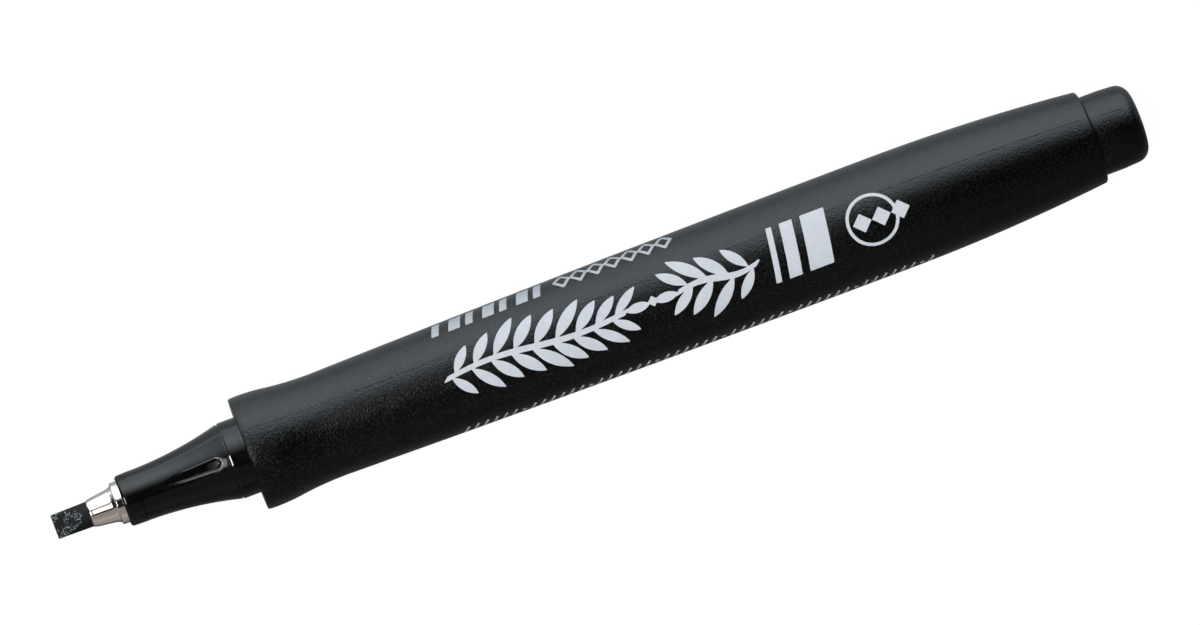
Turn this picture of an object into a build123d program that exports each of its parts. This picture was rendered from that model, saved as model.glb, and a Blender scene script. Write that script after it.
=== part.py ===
"""Calligraphy marker without its cap, built from its separate pieces.

A chisel-cut fibre nib sits in a drawn metal ferrule over a plastic bush. The ferrule is pressed into
the nose of a glossy front section, the section into a waisted barrel, and a plug closes the rear. A
fibre reservoir in a film jacket fills the barrel and feeds the nib.

Units are millimetres. A station is a distance along the pen from the writing edge at 0, and a radius
is measured from the pen's axis. The pen lies along X with its nib at -X and rests on Z = 0, and the
origin is under the middle of its length.
"""

from build123d import *

import os
from math import asin, cos, degrees, radians, sin

# Overall size
OVERALL_LENGTH = 137.9
BARREL_RADIUS = 7.05  # at the belly and at the front lip, which the pen lies on

# Stations of the visible joints
FERRULE_FRONT = 4.45
NOSE_FRONT = 8.60
SEAT_FRONT = 22.18
BARREL_FRONT = 24.45
BELLY = 106.0  # the barrel's fullest station
BARREL_REAR = 131.70

# Barrel outline: four arcs run from the belly forward to the lip and back to the rear
BELLY_ARC = 3826.0
WAIST_ARC = 42.0
LIP_ARC = 22.0
TAIL_ARC = 250.0
BELLY_TURN = 1.06  # degrees that each arc turns through
WAIST_TURN = 8.96
LIP_TURN = 10.98
TAIL_TURN = 5.90
LIP_EDGE = 0.12
REAR_EDGE = 0.35

# Barrel inside
BORE_RADIUS = 4.60
FRONT_MOUTH_CHAMFER = 0.16
REAR_MOUTH_CHAMFER = 0.10
RIB_COUNT = 6
RIB_WIDTH = 0.8
RIB_RADIUS = 4.42
RIB_ROOT = 0.3  # how far a rib reaches into the wall that it grows from
RIB_START, RIB_END = 40.0, 119.0
RIB_TURN = 30  # degrees

# Snap bead that holds the section in the barrel, and the groove that takes it
BEAD_STATION = 30.0
BEAD_HEIGHT = 0.12
BEAD_HALF_WIDTH = 0.45
BEAD_CLEARANCE = 0.02

# Front section
NOSE_RADIUS = 3.14
NOSE_RIM = 0.40
NOSE_MOUTH_CHAMFER = 0.15
NOSE_RING_END = 10.70
NOSE_RING_RADIUS = 3.21
NOSE_RING_STEP = 0.03
FLARE_START = 11.3
FLARE_START_RADIUS = 3.195
FLARE_ARC = 45.2
FLARE_LEAD = 1.0  # degrees of slope where the flare begins
FLARE_TURN = 13.78
SEAT_RADIUS = 4.74
SEAT_LEAD = 0.06  # how far the seat's front edge is lowered, over the lead's length
SEAT_LEAD_LENGTH = 0.18
SEAT_GROOVE_WIDTH = 0.14
SEAT_GROOVE_DEPTH = 0.18
SKIRT_END = 34.0
SKIRT_RADIUS = 4.57
SKIRT_WALL = 0.95
SKIRT_LEAD = 0.25
SKIRT_LEAD_LENGTH = 0.5
NOSE_BORE_RADIUS = 2.585
NOSE_BORE_END = 19.4
WEB_END = 20.8
CHAMBER_FRONT_RADIUS = 2.9
CHAMBER_FULL = 24.2
GUIDE_TUBE_RADIUS = 2.35
GUIDE_TUBE_END = 31.0
NIB_PASSAGE_RADIUS = 1.66

# Air channels in the flare: flat floors that run out to nothing towards the nose
CHANNEL_COUNT = 2
CHANNEL_START = 12.0
CHANNEL_END = 20.75
CHANNEL_FLOOR_WIDTH = 0.74
CHANNEL_FLOOR_RADIUS = 3.345
CHANNEL_DRAFT = 11.0  # degrees that each wall leans outward

# Ferrule
FERRULE_WALL = 0.30
FERRULE_LIP_RADIUS = 1.60
FERRULE_SHOULDER = (5.10, 1.77)
FERRULE_CONE_END = (7.25, 2.05)
FERRULE_NECK = (7.56, 2.09)  # the corner that the cone turns outward at, before it is filleted
FERRULE_RING_FRONT = 7.78
FERRULE_RING_RADIUS = 2.575
FERRULE_END = 14.8
FERRULE_NIB_LAND_END = 5.9
FERRULE_FILLET = 0.30

# Nib
NIB_EDGE_RADIUS = 1.49
NIB_RADIUS = 1.55
NIB_BORE_RADIUS = 1.58  # in the ferrule and the bush, a push fit that the nib slides out of
NIB_EDGE_THICKNESS = 0.36
NIB_FACET_LENGTH = 3.70
NIB_END = 41.6
NIB_POINT_LENGTH = 4.5
NIB_POINT_RADIUS = 0.45

# Nib bush
BUSH_FRONT = 8.3
BUSH_RADIUS = 2.27
BUSH_LEAD = 0.25
BUSH_LEAD_LENGTH = 0.6
BUSH_FLANGE_RADIUS = 2.58
BUSH_FLANGE_GAP = 0.05  # between the ferrule's rear edge and the flange
BUSH_END = 19.2
BUSH_SLOT_COUNT = 4
BUSH_SLOT_WIDTH = 0.55
BUSH_SLOT_DEPTH = 0.35
BUSH_SLOT_TURN = 45  # degrees

# Ink reservoir and its film
RESERVOIR_FRONT = 34.1
RESERVOIR_END = 121.4
RESERVOIR_RADIUS = 4.24
RESERVOIR_SOCKET_GAP = 0.05  # between the nib's rear and the fibres that it has pushed aside
FILM_THICKNESS = 0.12
FILM_GAP = 0.02
FILM_TUCK = 0.5  # the film stops this far short of each end of the reservoir

# End plug
PLUG_RADIUS = 4.92
PLUG_FRONT_CHAMFER = 0.14
PLUG_LAND_END = 134.2  # the straight stretch that a cap pushes onto ends here
PLUG_RIM_RADIUS = 4.72  # where the tapered side would meet the dome if the corner were sharp
PLUG_DOME_RADIUS = 28.0
PLUG_CORNER = 1.75
PLUG_SEAT_GAP = 0.02
PLUG_SKIRT_RADIUS = 4.57
PLUG_SKIRT_WALL = 0.95
PLUG_SKIRT_FRONT = 122.6
PLUG_CUP_END = 136.2
PLUG_FIN_COUNT = 4
PLUG_FIN_WIDTH = 0.8
PLUG_FIN_FRONT = 121.5
PLUG_FIN_INNER = 1.9
PLUG_FIN_OUTER = 4.2

# The pen's own plane: local X is the station, local Y the radius, upward
PEN_ORIGIN = (-OVERALL_LENGTH / 2, 0, BARREL_RADIUS)
PEN_PLANE = Plane(origin=PEN_ORIGIN, x_dir=(1, 0, 0), z_dir=(0, -1, 0))
PEN_AXIS = Axis(PEN_ORIGIN, (1, 0, 0))


def cross_plane(station):
    """The plane across the pen at a station, facing the rear, with local Y upward."""
    x, y, z = PEN_ORIGIN
    return Plane(origin=(x + station, y, z), x_dir=(0, 1, 0), z_dir=(1, 0, 0))


def radial_plane(station, radius, turn):
    """The plane that touches a cylinder of that radius, facing outward, turned about the pen from the top."""
    x, y, z = PEN_ORIGIN
    outward = (0, sin(radians(turn)), cos(radians(turn)))
    place = (x + station, y + radius * outward[1], z + radius * outward[2])
    return Plane(origin=place, x_dir=(1, 0, 0), z_dir=outward)


def bead(station, radius, height, half_width):
    """The outline points of a bead, or of the groove that takes it, around a cylinder."""
    return [
        (station - half_width, radius),
        (station, radius + height),
        (station + half_width, radius),
    ]


def save(piece, name):
    """Labels a finished piece and writes it as its own STEP file."""
    piece.part.label = name
    export_step(piece.part, f"parts/{name}.step")


os.makedirs("parts", exist_ok=True)

# Nib: a fibre rod, cut to a chisel in front and to a blunt point where it enters the reservoir
with BuildPart() as nib:
    with BuildSketch(PEN_PLANE):
        with BuildLine():
            Polyline(
                (0, 0),
                (0, NIB_EDGE_RADIUS),
                (FERRULE_FRONT, NIB_RADIUS),
                (NIB_END - NIB_POINT_LENGTH, NIB_RADIUS),
                (NIB_END, NIB_POINT_RADIUS),
                (NIB_END, 0),
                close=True,
            )
        make_face()
    revolve(axis=PEN_AXIS)
    with BuildSketch(PEN_PLANE) as facets:
        with BuildLine():
            Polyline(
                (0, NIB_EDGE_THICKNESS / 2),
                (NIB_FACET_LENGTH, NIB_RADIUS),
                (NIB_FACET_LENGTH, 2 * NIB_RADIUS),
                (0, 2 * NIB_RADIUS),
                close=True,
            )
        make_face()
        mirror(about=Plane.XZ)
    extrude(amount=2 * NIB_RADIUS, both=True, mode=Mode.SUBTRACT)
save(nib, "nib")

# Ferrule: a drawn sleeve that swells from the nib to a ring and runs on into the section's nose
with BuildPart() as ferrule:
    with BuildSketch(PEN_PLANE):
        with BuildLine():
            lip = (FERRULE_FRONT, FERRULE_LIP_RADIUS)
            cone = Line(FERRULE_SHOULDER, FERRULE_CONE_END)
            TangentArc(FERRULE_SHOULDER, lip, tangent=cone % 0 * -1)
            FilletPolyline(
                FERRULE_CONE_END,
                FERRULE_NECK,
                (FERRULE_RING_FRONT, FERRULE_RING_RADIUS),
                (FERRULE_END, FERRULE_RING_RADIUS),
                radius=[FERRULE_FILLET, FERRULE_FILLET / 2],
            )
            Polyline(
                (FERRULE_END, FERRULE_RING_RADIUS),
                (FERRULE_END, FERRULE_RING_RADIUS - FERRULE_WALL),
                (FERRULE_RING_FRONT + FERRULE_WALL, FERRULE_RING_RADIUS - FERRULE_WALL),
                (FERRULE_CONE_END[0], FERRULE_CONE_END[1] - FERRULE_WALL),
                (FERRULE_NIB_LAND_END, NIB_BORE_RADIUS),
                (FERRULE_FRONT, NIB_BORE_RADIUS),
                lip,
            )
        make_face()
    revolve(axis=PEN_AXIS)
save(ferrule, "ferrule")

# Nib bush: the plastic core inside the ferrule that grips the nib and lets air pass along its slots
with BuildPart() as nib_bush:
    flange_front = FERRULE_END + BUSH_FLANGE_GAP
    with BuildSketch(PEN_PLANE):
        with BuildLine():
            Polyline(
                (BUSH_FRONT, NIB_BORE_RADIUS),
                (BUSH_FRONT, BUSH_RADIUS - BUSH_LEAD),
                (BUSH_FRONT + BUSH_LEAD_LENGTH, BUSH_RADIUS),
                (flange_front, BUSH_RADIUS),
                (flange_front, BUSH_FLANGE_RADIUS),
                (BUSH_END, BUSH_FLANGE_RADIUS),
                (BUSH_END, NIB_BORE_RADIUS),
                close=True,
            )
        make_face()
    revolve(axis=PEN_AXIS)
    with BuildSketch(cross_plane(BUSH_FRONT)):
        with PolarLocations(NIB_BORE_RADIUS, BUSH_SLOT_COUNT, start_angle=BUSH_SLOT_TURN):
            Rectangle(2 * BUSH_SLOT_DEPTH, BUSH_SLOT_WIDTH)
    extrude(amount=BUSH_END - BUSH_FRONT, mode=Mode.SUBTRACT)
save(nib_bush, "nib_bush")

# Front section: nose, flare and cap seat outside; nose bore, web, guide tube and skirt inside
with BuildPart() as grip_section:
    with BuildSketch(PEN_PLANE):
        with BuildLine():
            nose = FilletPolyline(
                (NOSE_FRONT, NOSE_BORE_RADIUS + NOSE_MOUTH_CHAMFER),
                (NOSE_FRONT, NOSE_RADIUS),
                (NOSE_RING_END, NOSE_RING_RADIUS),
                radius=NOSE_RIM,
            )
            step = Line(nose @ 1, (NOSE_RING_END, NOSE_RING_RADIUS - NOSE_RING_STEP))
            Line(step @ 1, (FLARE_START, FLARE_START_RADIUS))
            flare_slope = radians(FLARE_LEAD)
            flare = JernArc(
                start=(FLARE_START, FLARE_START_RADIUS),
                tangent=(cos(flare_slope), sin(flare_slope)),
                radius=FLARE_ARC,
                arc_size=FLARE_TURN,
            )
            Polyline(
                flare @ 1,
                (SEAT_FRONT - SEAT_GROOVE_WIDTH, SEAT_RADIUS - SEAT_GROOVE_DEPTH),
                (SEAT_FRONT, SEAT_RADIUS - SEAT_GROOVE_DEPTH),
                (SEAT_FRONT, SEAT_RADIUS - SEAT_LEAD),
                (SEAT_FRONT + SEAT_LEAD_LENGTH, SEAT_RADIUS),
                (BARREL_FRONT, SEAT_RADIUS),
                (BARREL_FRONT, SKIRT_RADIUS),
                *bead(BEAD_STATION, SKIRT_RADIUS, BEAD_HEIGHT, BEAD_HALF_WIDTH),
                (SKIRT_END - SKIRT_LEAD_LENGTH, SKIRT_RADIUS),
                (SKIRT_END, SKIRT_RADIUS - SKIRT_LEAD),
                (SKIRT_END, SKIRT_RADIUS - SKIRT_WALL),
                (CHAMBER_FULL, SKIRT_RADIUS - SKIRT_WALL),
                (WEB_END, CHAMBER_FRONT_RADIUS),
                (WEB_END, GUIDE_TUBE_RADIUS),
                (GUIDE_TUBE_END, GUIDE_TUBE_RADIUS),
                (GUIDE_TUBE_END, NIB_PASSAGE_RADIUS),
                (NOSE_BORE_END, NIB_PASSAGE_RADIUS),
                (NOSE_BORE_END, NOSE_BORE_RADIUS),
                (NOSE_FRONT + NOSE_MOUTH_CHAMFER, NOSE_BORE_RADIUS),
                (NOSE_FRONT, NOSE_BORE_RADIUS + NOSE_MOUTH_CHAMFER),
            )
        make_face()
    revolve(axis=PEN_AXIS)
    channel_middle = (CHANNEL_START + CHANNEL_END) / 2
    for turn in range(CHANNEL_COUNT):
        channel_plane = radial_plane(channel_middle, CHANNEL_FLOOR_RADIUS, 360 * turn / CHANNEL_COUNT)
        with BuildSketch(channel_plane):
            SlotOverall(CHANNEL_END - CHANNEL_START, CHANNEL_FLOOR_WIDTH)
        extrude(amount=SEAT_RADIUS - CHANNEL_FLOOR_RADIUS, taper=-CHANNEL_DRAFT, mode=Mode.SUBTRACT)
save(grip_section, "grip_section")

# Barrel: a waisted tube with one straight bore, ribbed inside to centre the reservoir
with BuildPart() as barrel:
    with BuildSketch(PEN_PLANE):
        with BuildLine():
            belly = (BELLY, BARREL_RADIUS)
            side = JernArc(start=belly, tangent=(-1, 0), radius=BELLY_ARC, arc_size=BELLY_TURN)
            waist = JernArc(
                start=side @ 1, tangent=side % 1, radius=WAIST_ARC, arc_size=-WAIST_TURN
            )
            lip = JernArc(start=waist @ 1, tangent=waist % 1, radius=LIP_ARC, arc_size=LIP_TURN)
            tail = JernArc(start=belly, tangent=(1, 0), radius=TAIL_ARC, arc_size=-TAIL_TURN)
            rear_face = (tail @ 1).X
            groove_height = BEAD_HEIGHT + BEAD_CLEARANCE
            groove_half_width = BEAD_HALF_WIDTH + BEAD_CLEARANCE
            Polyline(
                lip @ 1,
                (BARREL_FRONT, BARREL_RADIUS - LIP_EDGE),
                (BARREL_FRONT, BORE_RADIUS + FRONT_MOUTH_CHAMFER),
                (BARREL_FRONT + FRONT_MOUTH_CHAMFER, BORE_RADIUS),
                *bead(BEAD_STATION, BORE_RADIUS, groove_height, groove_half_width),
                (rear_face - REAR_MOUTH_CHAMFER, BORE_RADIUS),
                (rear_face, BORE_RADIUS + REAR_MOUTH_CHAMFER),
                tail @ 1,
            )
        make_face()
    revolve(axis=PEN_AXIS)
    rear_rim = barrel.edges().group_by(Axis.X)[-1].sort_by(SortBy.RADIUS)[-1]
    fillet(rear_rim, radius=REAR_EDGE)
    with BuildSketch(cross_plane(RIB_START)):
        rib_middle = (RIB_RADIUS + BORE_RADIUS + RIB_ROOT) / 2
        with PolarLocations(rib_middle, RIB_COUNT, start_angle=RIB_TURN):
            Rectangle(BORE_RADIUS + RIB_ROOT - RIB_RADIUS, RIB_WIDTH)
    extrude(amount=RIB_END - RIB_START)
save(barrel, "barrel")

# Ink reservoir: a rod of bundled fibres, pushed aside in front by the nib's point
with BuildPart() as ink_reservoir:
    with BuildSketch(PEN_PLANE):
        socket_radius = NIB_RADIUS + RESERVOIR_SOCKET_GAP
        with BuildLine():
            Polyline(
                (RESERVOIR_FRONT, socket_radius),
                (RESERVOIR_FRONT, RESERVOIR_RADIUS),
                (RESERVOIR_END, RESERVOIR_RADIUS),
                (RESERVOIR_END, 0),
                (NIB_END + RESERVOIR_SOCKET_GAP, 0),
                (NIB_END + RESERVOIR_SOCKET_GAP, NIB_POINT_RADIUS + RESERVOIR_SOCKET_GAP),
                (NIB_END - NIB_POINT_LENGTH, socket_radius),
                close=True,
            )
        make_face()
    revolve(axis=PEN_AXIS)
save(ink_reservoir, "ink_reservoir")

# Reservoir film: the plastic sleeve that keeps the fibres together and the ink off the barrel
with BuildPart() as reservoir_film:
    film_inside = RESERVOIR_RADIUS + FILM_GAP
    with BuildSketch(cross_plane(RESERVOIR_FRONT + FILM_TUCK)):
        Circle(film_inside + FILM_THICKNESS)
        Circle(film_inside, mode=Mode.SUBTRACT)
    extrude(amount=RESERVOIR_END - RESERVOIR_FRONT - 2 * FILM_TUCK)
save(reservoir_film, "reservoir_film")

# End plug: a domed stud over a hollow skirt, with fins inside that keep the reservoir from sliding back
with BuildPart() as end_plug:
    stud_front = BARREL_REAR + PLUG_SEAT_GAP
    cup_radius = PLUG_SKIRT_RADIUS - PLUG_SKIRT_WALL
    with BuildSketch(PEN_PLANE):
        with BuildLine():
            land_end = (PLUG_LAND_END, PLUG_RADIUS)
            dome_angle = degrees(asin(PLUG_RIM_RADIUS / PLUG_DOME_RADIUS))
            dome = CenterArc((OVERALL_LENGTH - PLUG_DOME_RADIUS, 0), PLUG_DOME_RADIUS, 0, dome_angle)
            Line(land_end, dome @ 1)
            Polyline(
                dome @ 0,
                (PLUG_CUP_END, 0),
                (PLUG_CUP_END, cup_radius),
                (PLUG_SKIRT_FRONT, cup_radius),
                (PLUG_SKIRT_FRONT, PLUG_SKIRT_RADIUS - SKIRT_LEAD),
                (PLUG_SKIRT_FRONT + SKIRT_LEAD_LENGTH, PLUG_SKIRT_RADIUS),
                (stud_front, PLUG_SKIRT_RADIUS),
                (stud_front, PLUG_RADIUS - PLUG_FRONT_CHAMFER),
                (stud_front + PLUG_FRONT_CHAMFER, PLUG_RADIUS),
                land_end,
            )
        make_face()
    revolve(axis=PEN_AXIS)
    rings = end_plug.edges().filter_by(lambda edge: edge.is_closed)
    fillet(rings.group_by(Axis.X)[-1], radius=PLUG_CORNER)
    with BuildSketch(cross_plane(PLUG_FIN_FRONT)):
        fin_middle = (PLUG_FIN_INNER + PLUG_FIN_OUTER) / 2
        with PolarLocations(fin_middle, PLUG_FIN_COUNT):
            Rectangle(PLUG_FIN_OUTER - PLUG_FIN_INNER, PLUG_FIN_WIDTH)
    extrude(amount=PLUG_CUP_END - PLUG_FIN_FRONT)
save(end_plug, "end_plug")
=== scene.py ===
"""Looks of the calligraphy marker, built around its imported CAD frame.

The bush, reservoir and film keep their CAD shapes and get their materials here. The barrel, end plug,
front section, ferrule and nib are turned again in finer meshes on the same sizes. The barrel gets its
print, and barrel and plug get the parting lines that their moulds leave.

Positions along the pen are stations: millimetres from the writing edge. A turn is an angle about the
pen's axis in degrees, 0 at the top and growing towards +Y. Blender itself works in metres.
"""

from collections import Counter, namedtuple
from math import acos, asin, atan2, ceil, cos, degrees, hypot, pi, radians, sin, tan

import bmesh
import bpy
import numpy as np
from mathutils import Matrix, Vector
from mathutils import noise as bl_noise


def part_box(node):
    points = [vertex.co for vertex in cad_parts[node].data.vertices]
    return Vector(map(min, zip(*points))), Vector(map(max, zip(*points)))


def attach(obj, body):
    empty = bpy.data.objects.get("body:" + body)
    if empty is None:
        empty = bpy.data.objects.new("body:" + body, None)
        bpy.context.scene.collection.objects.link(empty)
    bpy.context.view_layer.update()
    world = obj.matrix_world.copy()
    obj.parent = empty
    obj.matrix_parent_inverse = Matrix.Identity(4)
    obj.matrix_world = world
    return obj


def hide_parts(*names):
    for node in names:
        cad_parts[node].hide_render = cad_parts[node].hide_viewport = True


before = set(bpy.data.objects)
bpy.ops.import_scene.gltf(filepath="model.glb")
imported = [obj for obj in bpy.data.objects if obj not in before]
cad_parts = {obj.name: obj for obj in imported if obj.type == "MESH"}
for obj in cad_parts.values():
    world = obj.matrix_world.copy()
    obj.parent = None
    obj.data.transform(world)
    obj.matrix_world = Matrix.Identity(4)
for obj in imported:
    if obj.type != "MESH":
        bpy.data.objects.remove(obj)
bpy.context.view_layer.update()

MM = 0.001
BODY, NIB_BODY, PLUG_BODY = "pen_body", "nib", "end_plug"
AXIS_HEIGHT = (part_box("barrel")[0].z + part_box("barrel")[1].z) / 2
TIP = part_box("nib")[0].x
ALONG = Vector((1, 0, 0))


def station(node, end):
    """The station in millimetres of a CAD node's front (end 0) or rear (end 1)."""
    return (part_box(node)[end].x - TIP) / MM


NOSE_FRONT = station("grip_section", 0)
SKIRT_END = station("grip_section", 1)
BARREL_FRONT, BARREL_REAR = station("barrel", 0), station("barrel", 1)
FERRULE_FRONT, FERRULE_END = station("ferrule", 0), station("ferrule", 1)
NIB_END = station("nib", 1)


def pen_point(along, radius=0.0, turn=0.0):
    """The point in metres at a station, a radius in millimetres and a turn in degrees."""
    angle = radians(turn)
    offset = Vector((0, sin(angle), cos(angle))) * radius * MM
    return Vector((TIP + along * MM, 0, AXIS_HEIGHT)) + offset


# ---------------------------------------------------------------- camera

VIEW_ELEVATION = 86.0  # degrees above the floor, on the -Y side
VIEW_ROLL = 20.63  # degrees that the pen rises to the right
VIEW_DISTANCE = 1.24
VIEW_CENTRE = 69.5  # station in the middle of the view
VIEW_RISE = 1.05  # millimetres that the middle of the view lies above the axis
VIEW_WIDTH = 0.1425  # metres across the view at the pen
SENSOR = 36.0  # millimetres
CLIP_START = 0.01


def place_camera():
    """Looks down at the pen from almost straight above, with the tip at the lower left."""
    lean = radians(90 - VIEW_ELEVATION)
    towards = Vector((0, -sin(lean), cos(lean)))
    across = Vector((0, cos(lean), sin(lean)))
    place = pen_point(0) + VIEW_DISTANCE * towards
    aim = pen_point(VIEW_CENTRE) + VIEW_RISE * MM * across
    look = (aim - place).normalized()
    level = (ALONG - look * ALONG.dot(look)).normalized()
    rise = level.cross(look)
    roll = radians(VIEW_ROLL)
    right = cos(roll) * level - sin(roll) * rise
    up = sin(roll) * level + cos(roll) * rise
    camera = bpy.data.objects.new("camera", bpy.data.cameras.new("camera"))
    camera.matrix_world = Matrix.Translation(place) @ Matrix((right, up, -look)).transposed().to_4x4()
    camera.data.sensor_width = SENSOR
    camera.data.lens = SENSOR * (aim - place).length / VIEW_WIDTH
    camera.data.clip_start = CLIP_START
    bpy.context.scene.collection.objects.link(camera)
    bpy.context.scene.camera = camera


# ---------------------------------------------------------------- shader nodes


def add_node(tree, kind, settings=None, **inputs):
    """Adds a shader node and returns it. An input takes a value, or the output socket of another node."""
    node = tree.nodes.new("ShaderNode" + kind)
    for key, value in (settings or {}).items():
        setattr(node, key, value)
    for key, value in inputs.items():
        socket = node.inputs[int(key[1:]) if key[0] == "_" else key.replace("_", " ")]
        if isinstance(value, bpy.types.NodeSocket):
            tree.links.new(value, socket)
        else:
            socket.default_value = value
    return node


def grey(value, warmth=0.0):
    """A linear grey; warmth above 0 is warmer and below 0 cooler."""
    return (value * (1 + warmth), value, value * (1 - warmth), 1)


def operate(tree, kind, settings, *values):
    """Adds a node whose inputs take some values in their order, and returns its outputs."""
    inputs = {f"_{index}": value for index, value in enumerate(values)}
    return add_node(tree, kind, settings, **inputs).outputs


def math_node(tree, operation, *values):
    """The result of one math operation on numbers or sockets."""
    return operate(tree, "Math", {"operation": operation}, *values)[0]


def product(tree, first, *others):
    """The product of numbers or sockets."""
    for factor in others:
        first = math_node(tree, "MULTIPLY", first, factor)
    return first


def vector_node(tree, operation, *vectors):
    """The result of one operation on vectors or sockets: a vector, or a number for a length."""
    outputs = operate(tree, "VectorMath", {"operation": operation}, *vectors)
    return outputs[1 if operation in ("LENGTH", "DISTANCE") else 0]


def remap(tree, value, low, high, to_low=0.0, to_high=1.0, smooth=False):
    """A value taken from one range to another and kept inside it."""
    settings = {"interpolation_type": "SMOOTHSTEP"} if smooth else None
    return operate(tree, "MapRange", settings, value, low, high, to_low, to_high)[0]


def split(tree, vector):
    """The X, Y and Z of a vector."""
    return operate(tree, "SeparateXYZ", None, vector)


# ---------------------------------------------------------------- floor, room and lights

FLOOR_SIZE = 12  # metres
FLOOR_PAPER, FLOOR_GLOW = 0.05, 0.97  # the floor's paper and glow as the camera sees it
FLOOR_UNSEEN = (0.30, 0.15)  # its paper as the pen reflects it: beside the ferrule, and behind that
FLOOR_FRONT = (0.004, 0.016)  # metres behind the tip between which the one goes over to the other
FLOOR_BOUNCE = (0.2, 2.6)  # its glow as the pen reflects it: beside the pen, and far beyond it
FLOOR_FADE = (0.004, 0.12)  # metres towards +Y between which that glow grows
FLOOR_SHADE = (-0.014, -0.004, 1.0, 0.15)  # painted shade: that paper darkens towards +Y, beside nib and ferrule
FLOOR_SHADE_END = (0.0085, 0.0105)  # metres behind the tip between which that painted shade ends

# Leans are degrees from overhead towards +Y. A fade is (start, end, level at its start, level at its end).
KEY_LEVEL, KEY_RISE, KEY_FALL = 4.7, (7.0, 51.0), (52.0, 94.0, 1.0, 0.56)
KEY_FRONT, KEY_REAR = (-0.75, -0.10, 0.0, 1.0), (0.60, 0.88, 1.0, 0.0)  # how the key fades along X
KEY_COLOUR = (0.89, 0.99, 1.05, 1)
NEAR_SIDE = (-26.0, -34.0, 0.015, 0.25)
NEAR_LOW = (-60.0, -90.0, 0.0, 0.16)  # added towards the horizon
NEAR_ENDS = (0.0, 0.2, 1.0, 0.5)  # how the near side fades along X

LIGHT_DISTANCE = 1.2  # metres from the tip
FILL, TIP_BOX, GLINT = ((0, -8), (60, 50)), ((-19, -4), (12, 25)), ((-37, -4), (8, 27))  # leans and sizes
FILL_LEVEL = 2.9
TIP_BOX_LEVEL, GLINT_LEVEL = 9.5, 60
METAL_TIP_BOX_LEVEL, METAL_GLINT_LEVEL = 2.0, 8


def add_shaders(tree, first, second):
    """The sum of two shaders."""
    return add_node(tree, "AddShader", _0=first.outputs[0], _1=second.outputs[0])


def camera_sees(tree, reflected, seen):
    """A shader that is one thing to the camera and another to everything else."""
    camera_ray = add_node(tree, "LightPath").outputs["Is Camera Ray"]
    mix = add_node(tree, "MixShader", _0=camera_ray, _1=reflected.outputs[0], _2=seen.outputs[0])
    return mix.outputs[0]


def build_floor():
    """A pale floor. What the pen reflects of it is bright on the far side and dim on the near side."""
    bpy.ops.mesh.primitive_plane_add(size=FLOOR_SIZE)
    floor = bpy.context.object
    floor.name = "floor"
    material = bpy.data.materials.new("floor")
    material.use_nodes = True
    tree = material.node_tree
    tree.nodes.clear()
    place = add_node(tree, "NewGeometry").outputs["Position"]
    along, away, _ = split(tree, place)
    far_side = remap(tree, away, -FLOOR_FADE[0], FLOOR_FADE[0])
    glow = product(tree, far_side, remap(tree, away, *FLOOR_FADE, *FLOOR_BOUNCE))
    ahead = remap(tree, along, TIP + FLOOR_FRONT[0], TIP + FLOOR_FRONT[1], *FLOOR_UNSEEN)
    # painted shade of the pen on the paper that the pen reflects
    shade = remap(tree, away, *FLOOR_SHADE)
    behind = remap(tree, along, TIP + FLOOR_SHADE_END[0], TIP + FLOOR_SHADE_END[1])
    unseen = product(tree, ahead, math_node(tree, "MAXIMUM", shade, behind))
    sides = []
    for paper, light, tint in ((unseen, glow, KEY_COLOUR), (grey(FLOOR_PAPER), FLOOR_GLOW, grey(1.0))):
        matt = add_node(tree, "BsdfDiffuse", Color=paper)
        lit = add_node(tree, "Emission", Color=tint, Strength=light)
        sides.append(add_shaders(tree, matt, lit))
    add_node(tree, "OutputMaterial", Surface=camera_sees(tree, *sides))
    floor.data.materials.append(material)


def build_world():
    """A room: white to the camera; to the pen a bright far side, a dark gap overhead and a dim near side."""
    world = bpy.data.worlds.new("studio")
    bpy.context.scene.world = world
    world.cycles_visibility.diffuse = False
    world.use_nodes = True
    tree = world.node_tree
    tree.nodes.clear()
    direction = add_node(tree, "TexCoord").outputs["Generated"]
    along, away, height = split(tree, direction)
    lean = math_node(tree, "DEGREES", math_node(tree, "ARCTAN2", away, height))
    rise = remap(tree, lean, *KEY_RISE, 0.0, KEY_LEVEL, smooth=True)
    fall = remap(tree, lean, *KEY_FALL, smooth=True)
    ends = product(tree, remap(tree, along, *KEY_FRONT), remap(tree, along, *KEY_REAR))
    key = product(tree, rise, fall, ends)
    near = remap(tree, lean, *NEAR_SIDE, smooth=True)
    low = remap(tree, lean, *NEAR_LOW)
    near = product(tree, math_node(tree, "ADD", near, low), remap(tree, along, *NEAR_ENDS))
    far_light = add_node(tree, "Background", Color=KEY_COLOUR, Strength=key)
    near_light = add_node(tree, "Background", Color=grey(1.0), Strength=near)
    lit = add_shaders(tree, far_light, near_light)
    white = add_node(tree, "Background", Color=grey(1.0), Strength=1.0)
    add_node(tree, "OutputWorld", Surface=camera_sees(tree, lit, white))


def add_light(name, leans, sizes, brightness):
    """A softbox of some radiance. Leans from overhead and sizes are degrees in X and Y at the tip."""
    data = bpy.data.lights.new(name, "AREA")
    data.shape = "RECTANGLE"
    data.size, data.size_y = (2 * LIGHT_DISTANCE * tan(radians(size / 2)) for size in sizes)
    data.energy = brightness * pi * data.size * data.size_y
    light = bpy.data.objects.new(name, data)
    towards = Vector((tan(radians(leans[0])), tan(radians(leans[1])), 1)).normalized()
    level = (ALONG - towards * ALONG.dot(towards)).normalized()
    turn = Matrix((level, towards.cross(level), towards)).transposed().to_4x4()
    light.matrix_world = Matrix.Translation(pen_point(0) + towards * LIGHT_DISTANCE) @ turn
    light.visible_camera = False
    bpy.context.scene.collection.objects.link(light)
    return light


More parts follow.
